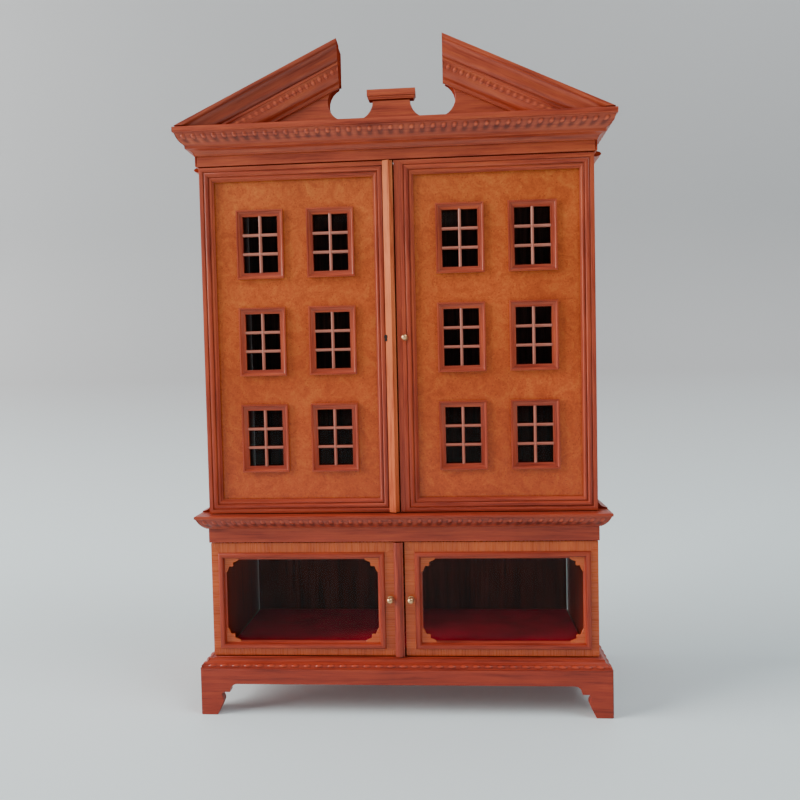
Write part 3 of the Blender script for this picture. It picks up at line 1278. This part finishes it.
class BOOKCASE_OT_fittings(Operator):
    """Turned brass knobs, hinge pins and the keyhole"""
    bl_idname = "bookcase.fittings"
    bl_label = "Brass fittings"

    def execute(self, context):
        settings = context.scene.bookcase_fittings
        brass = finish_named("brass")
        for node, body in (
                ("knob_upper_right", "upper_door_right"), ("knob_lower_left", "lower_door_left"),
                ("knob_lower_right", "lower_door_right")):
            floor, crown = low(node), high(node)
            radius = settings.knob_radius
            centre = ((floor[0] + crown[0]) / 2, floor[1] + KNOB_REACH, (floor[2] + crown[2]) / 2)
            ball = KNOB_REACH - radius
            profile = outline(
                (0.35 * MM, -1.0 * MM), (0.35 * MM, 0.02 * MM), (0.92 * radius, 0.02 * MM),
                (0.95 * radius, 0.14 * MM), (0.80 * radius, 0.26 * MM), (0.60 * radius, 0.30 * MM),
                arc((0.60 * radius, 0.52 * MM), (0.20 * radius, 0.22 * MM), 270, 120, 6),
                arc((0, ball), (radius, radius), -52, 86, 18))
            seat(turned("turned_" + node, profile, centre), body, brass, "brass", node)
        for level in ("base", "waist", "head"):
            for word in ("left", "right"):
                refinish("pivot_pin_%s_%s" % (level, word), brass)
        self.keyhole(settings)
        return {'FINISHED'}

    def keyhole(self, settings):
        """A keyhole let flush into the stile: a round eye over a slot that widens downward."""
        floor, crown = low("door_frame_upper_left"), high("door_frame_upper_left")
        tall = settings.keyhole_height
        eye = 0.30 * tall
        middle = (crown[0] - KEYHOLE_INSET, (floor[2] + crown[2]) / 2)
        angle = np.radians(np.linspace(-60, 240, 21))
        edge = np.column_stack((eye * np.cos(angle), 0.2 * tall + eye * np.sin(angle)))
        edge = np.vstack((edge, (-0.20 * tall, -0.5 * tall), (0.20 * tall, -0.5 * tall)))
        faces = floor[1] - 0.30 * MM, floor[1] + 0.6 * MM
        piece = prism("keyhole_inlay", edge + middle, faces, 40.0)
        seat(piece, "upper_door_left", finish_named("ebony"), "mahogany", ends="ebony")


class BOOKCASE_OT_lining(Operator):
    """The baize laid on the cupboard floor"""
    bl_idname = "bookcase.lining"
    bl_label = "Baize lining"

    def execute(self, context):
        """A flat sheet whose top is lifted by a sum of slow sine waves, down to nothing at its rim."""
        settings = context.scene.bookcase_fittings
        floor, crown = low("baize_lining"), high("baize_lining")
        columns, rows = 96, 36
        u, v = np.meshgrid(np.linspace(0, 1, columns), np.linspace(0, 1, rows), indexing='ij')
        x = floor[0] + u * (crown[0] - floor[0])
        y = floor[1] + v * (crown[1] - floor[1])
        wave = np.sin(u * 23 + 2 * v) * np.sin(v * 9 + u * 5) + 0.6 * np.sin(u * 51 - v * 17)
        fade = np.clip(np.minimum(np.minimum(u, 1 - u) * 3, np.minimum(v, 1 - v)) * 10, 0, 1)
        top = crown[2] - settings.baize_nap * (1 - 0.5 * wave * fade)
        upper = np.stack((x, y, top), axis=-1).reshape(-1, 3)
        under = np.stack((x, y, np.full_like(x, floor[2])), axis=-1).reshape(-1, 3)
        index = np.arange(columns * rows).reshape(columns, rows)
        a, b, c, d = index[:-1, :-1], index[1:, :-1], index[1:, 1:], index[:-1, 1:]
        face = np.stack((a, b, c, d), axis=-1).reshape(-1, 4)
        rim = np.concatenate((index[:, 0], index[-1, 1:], index[-2::-1, -1], index[0, -2:0:-1]))
        following = np.roll(rim, -1)
        shift = columns * rows
        wall = np.column_stack((following, rim, rim + shift, following + shift))
        quads = np.vstack((face, face[:, ::-1] + shift, wall))
        piece = make_piece("laid_baize_lining", np.vstack((upper, under)), quads, (), None, 50.0)
        seat(piece, "case", finish_named("baize"), "baize", "baize_lining")
        return {'FINISHED'}


# ------------------------------------------------------------------ stage

class BOOKCASE_OT_stage(Operator):
    """Pale floor and backdrop, soft lights and the camera"""
    bl_idname = "bookcase.stage"
    bl_label = "Stage"

    def execute(self, context):
        stage = context.scene.bookcase_stage
        self.backdrop(context.scene.bookcase_colours)
        self.lights(context, stage)
        self.camera(context, stage)
        return {'FINISHED'}

    def backdrop(self, tints):
        """A sheet that runs flat under the case and sweeps up behind it in a quarter circle."""
        bend = 0.22
        flat = np.array([(-1.6, 0.0), (0.10, 0.0)])
        curve = arc((0.10, bend), (bend, bend), -90, 0, 24)
        path = outline(flat, curve, (0.10 + bend, 1.8))
        across = np.array([-1.8, 1.8])
        count = len(path)
        points = np.zeros((2, count, 3))
        points[..., 0] = across[:, None]
        points[..., 1] = path[:, 0]
        points[..., 2] = path[:, 1]
        i = np.arange(count - 1)
        quads = np.column_stack((i, i + count, i + 1 + count, i + 1))
        mesh = bpy.data.meshes.new("backdrop")
        mesh.from_pydata(points.reshape(-1, 3).tolist(), [], quads.tolist())
        mesh.shade_smooth()
        piece = bpy.data.objects.new("backdrop", mesh)
        bpy.context.scene.collection.objects.link(piece)
        material, tree, output = new_material("painted_backdrop")
        place = add_node(tree, "ShaderNodeTexCoord", output="Object")
        cloud = add_node(tree, "ShaderNodeTexNoise", {"Vector": place, "Scale": 3.0, "Detail": 2.0}, "Fac")
        height = add_node(tree, "ShaderNodeSeparateXYZ", {"Vector": place}, "Z")
        rise = add_node(tree, "ShaderNodeMapRange", {
            "Value": height, "From Min": 0.0, "From Max": 0.10}, "Result")
        plain = add_node(tree, "ShaderNodeValToRGB", {"Fac": rise}, "Color", (
            (0.0, tints.floor), (1.0, tints.wall)))
        dull = add_node(tree, "ShaderNodeValToRGB", {"Fac": cloud}, "Color", (
            (0.3, (0.97, 0.97, 0.97)), (0.7, (1.0, 1.0, 1.0))))
        tint = add_node(tree, "ShaderNodeMix", {0: 1.0, 6: plain, 7: dull}, **TINT)
        shader = add_node(tree, "ShaderNodeBsdfPrincipled", {"Base Color": tint, "Roughness": 0.5}, "BSDF")
        tree.links.new(shader, output.inputs["Surface"])
        piece.data.materials.append(material)

    def lights(self, context, stage):
        """A large window light from the upper left, a weak one in front and one over the floor."""
        target = Vector((0, 0, 0.10))
        for name, place, size, power, tint in (
                ("window_light", (-1.65, -0.42, 0.85), 1.10, stage.key_power, (1.0, 0.985, 0.96)),
                ("front_light", (-0.30, -1.05, 0.75), 0.80, stage.fill_power, (1.0, 0.98, 0.96)),
                ("floor_light", (0.60, -0.30, 1.0), 0.60, stage.floor_power, (0.93, 0.98, 1.0))):
            light = bpy.data.lights.new(name, 'AREA')
            light.shape = 'SQUARE'
            light.size = size
            light.energy = power
            light.color = tint
            lamp = bpy.data.objects.new(name, light)
            context.scene.collection.objects.link(lamp)
            lamp.location = place
            lamp.rotation_euler = (target - Vector(place)).to_track_quat('-Z', 'Y').to_euler()
        world = bpy.data.worlds.new("soft_sky")
        world.use_nodes = True
        background = world.node_tree.nodes["Background"]
        background.inputs["Color"].default_value = (0.86, 0.91, 1.0, 1.0)
        background.inputs["Strength"].default_value = stage.sky
        context.scene.world = world

    def camera(self, context, stage):
        """The camera stands a little right of the middle and looks slightly left and down."""
        yaw, pitch, roll = np.radians((CAMERA_YAW, CAMERA_PITCH, CAMERA_ROLL))
        eye = np.array(CAMERA_EYE) * MM
        ahead = np.array((math.sin(yaw) * math.cos(pitch), math.cos(yaw) * math.cos(pitch), math.sin(pitch)))
        right = np.array((math.cos(yaw), -math.sin(yaw), 0.0))
        up = np.cross(right, ahead)
        turned_right = math.cos(roll) * right + math.sin(roll) * up
        turned_up = -math.sin(roll) * right + math.cos(roll) * up
        data = bpy.data.cameras.new("camera")
        data.lens = stage.lens
        data.sensor_width = 36
        data.clip_start = 0.01
        data.clip_end = 10
        camera = bpy.data.objects.new("camera", data)
        context.scene.collection.objects.link(camera)
        turn = np.column_stack((turned_right, turned_up, -ahead))
        camera.matrix_world = Matrix.Translation(Vector(eye)) @ Matrix(turn.tolist()).to_4x4()
        context.scene.camera = camera


class BOOKCASE_PT_panel(Panel):
    """The bookcase's operators and settings"""
    bl_idname = "BOOKCASE_PT_panel"
    bl_label = "Miniature Bookcase"
    bl_space_type = 'VIEW_3D'
    bl_region_type = 'UI'
    bl_category = "Bookcase"

    def draw(self, context):
        for operator in OPERATORS:
            self.layout.operator(operator.bl_idname)
        for key in SETTINGS:
            group = getattr(context.scene, key)
            box = self.layout.box()
            box.label(text=key.replace("_", " ").capitalize())
            for name in group.__annotations__:
                box.prop(group, name)


OPERATORS = (
    BOOKCASE_OT_case_boards, BOOKCASE_OT_cornice, BOOKCASE_OT_plinth, BOOKCASE_OT_pediment,
    BOOKCASE_OT_upper_doors, BOOKCASE_OT_lower_doors, BOOKCASE_OT_fittings, BOOKCASE_OT_lining,
    BOOKCASE_OT_stage)
SETTINGS = {
    "bookcase_mouldings": MouldingSettings, "bookcase_doors": DoorSettings,
    "bookcase_fittings": FittingSettings, "bookcase_colours": ColourSettings, "bookcase_stage": StageSettings}


def register():
    for group in SETTINGS.values():
        bpy.utils.register_class(group)
    for item in (*OPERATORS, BOOKCASE_PT_panel):
        bpy.utils.register_class(item)
    for key, group in SETTINGS.items():
        setattr(bpy.types.Scene, key, PointerProperty(type=group))


def unregister():
    for key in SETTINGS:
        delattr(bpy.types.Scene, key)
    for item in reversed((*SETTINGS.values(), *OPERATORS, BOOKCASE_PT_panel)):
        bpy.utils.unregister_class(item)


def main():
    """Make every piece in order."""
    register()
    for operator in OPERATORS:
        group, name = operator.bl_idname.split(".")
        getattr(getattr(bpy.ops, group), name)()
    bpy.context.view_layer.update()


if __name__ == "__main__":
    main()
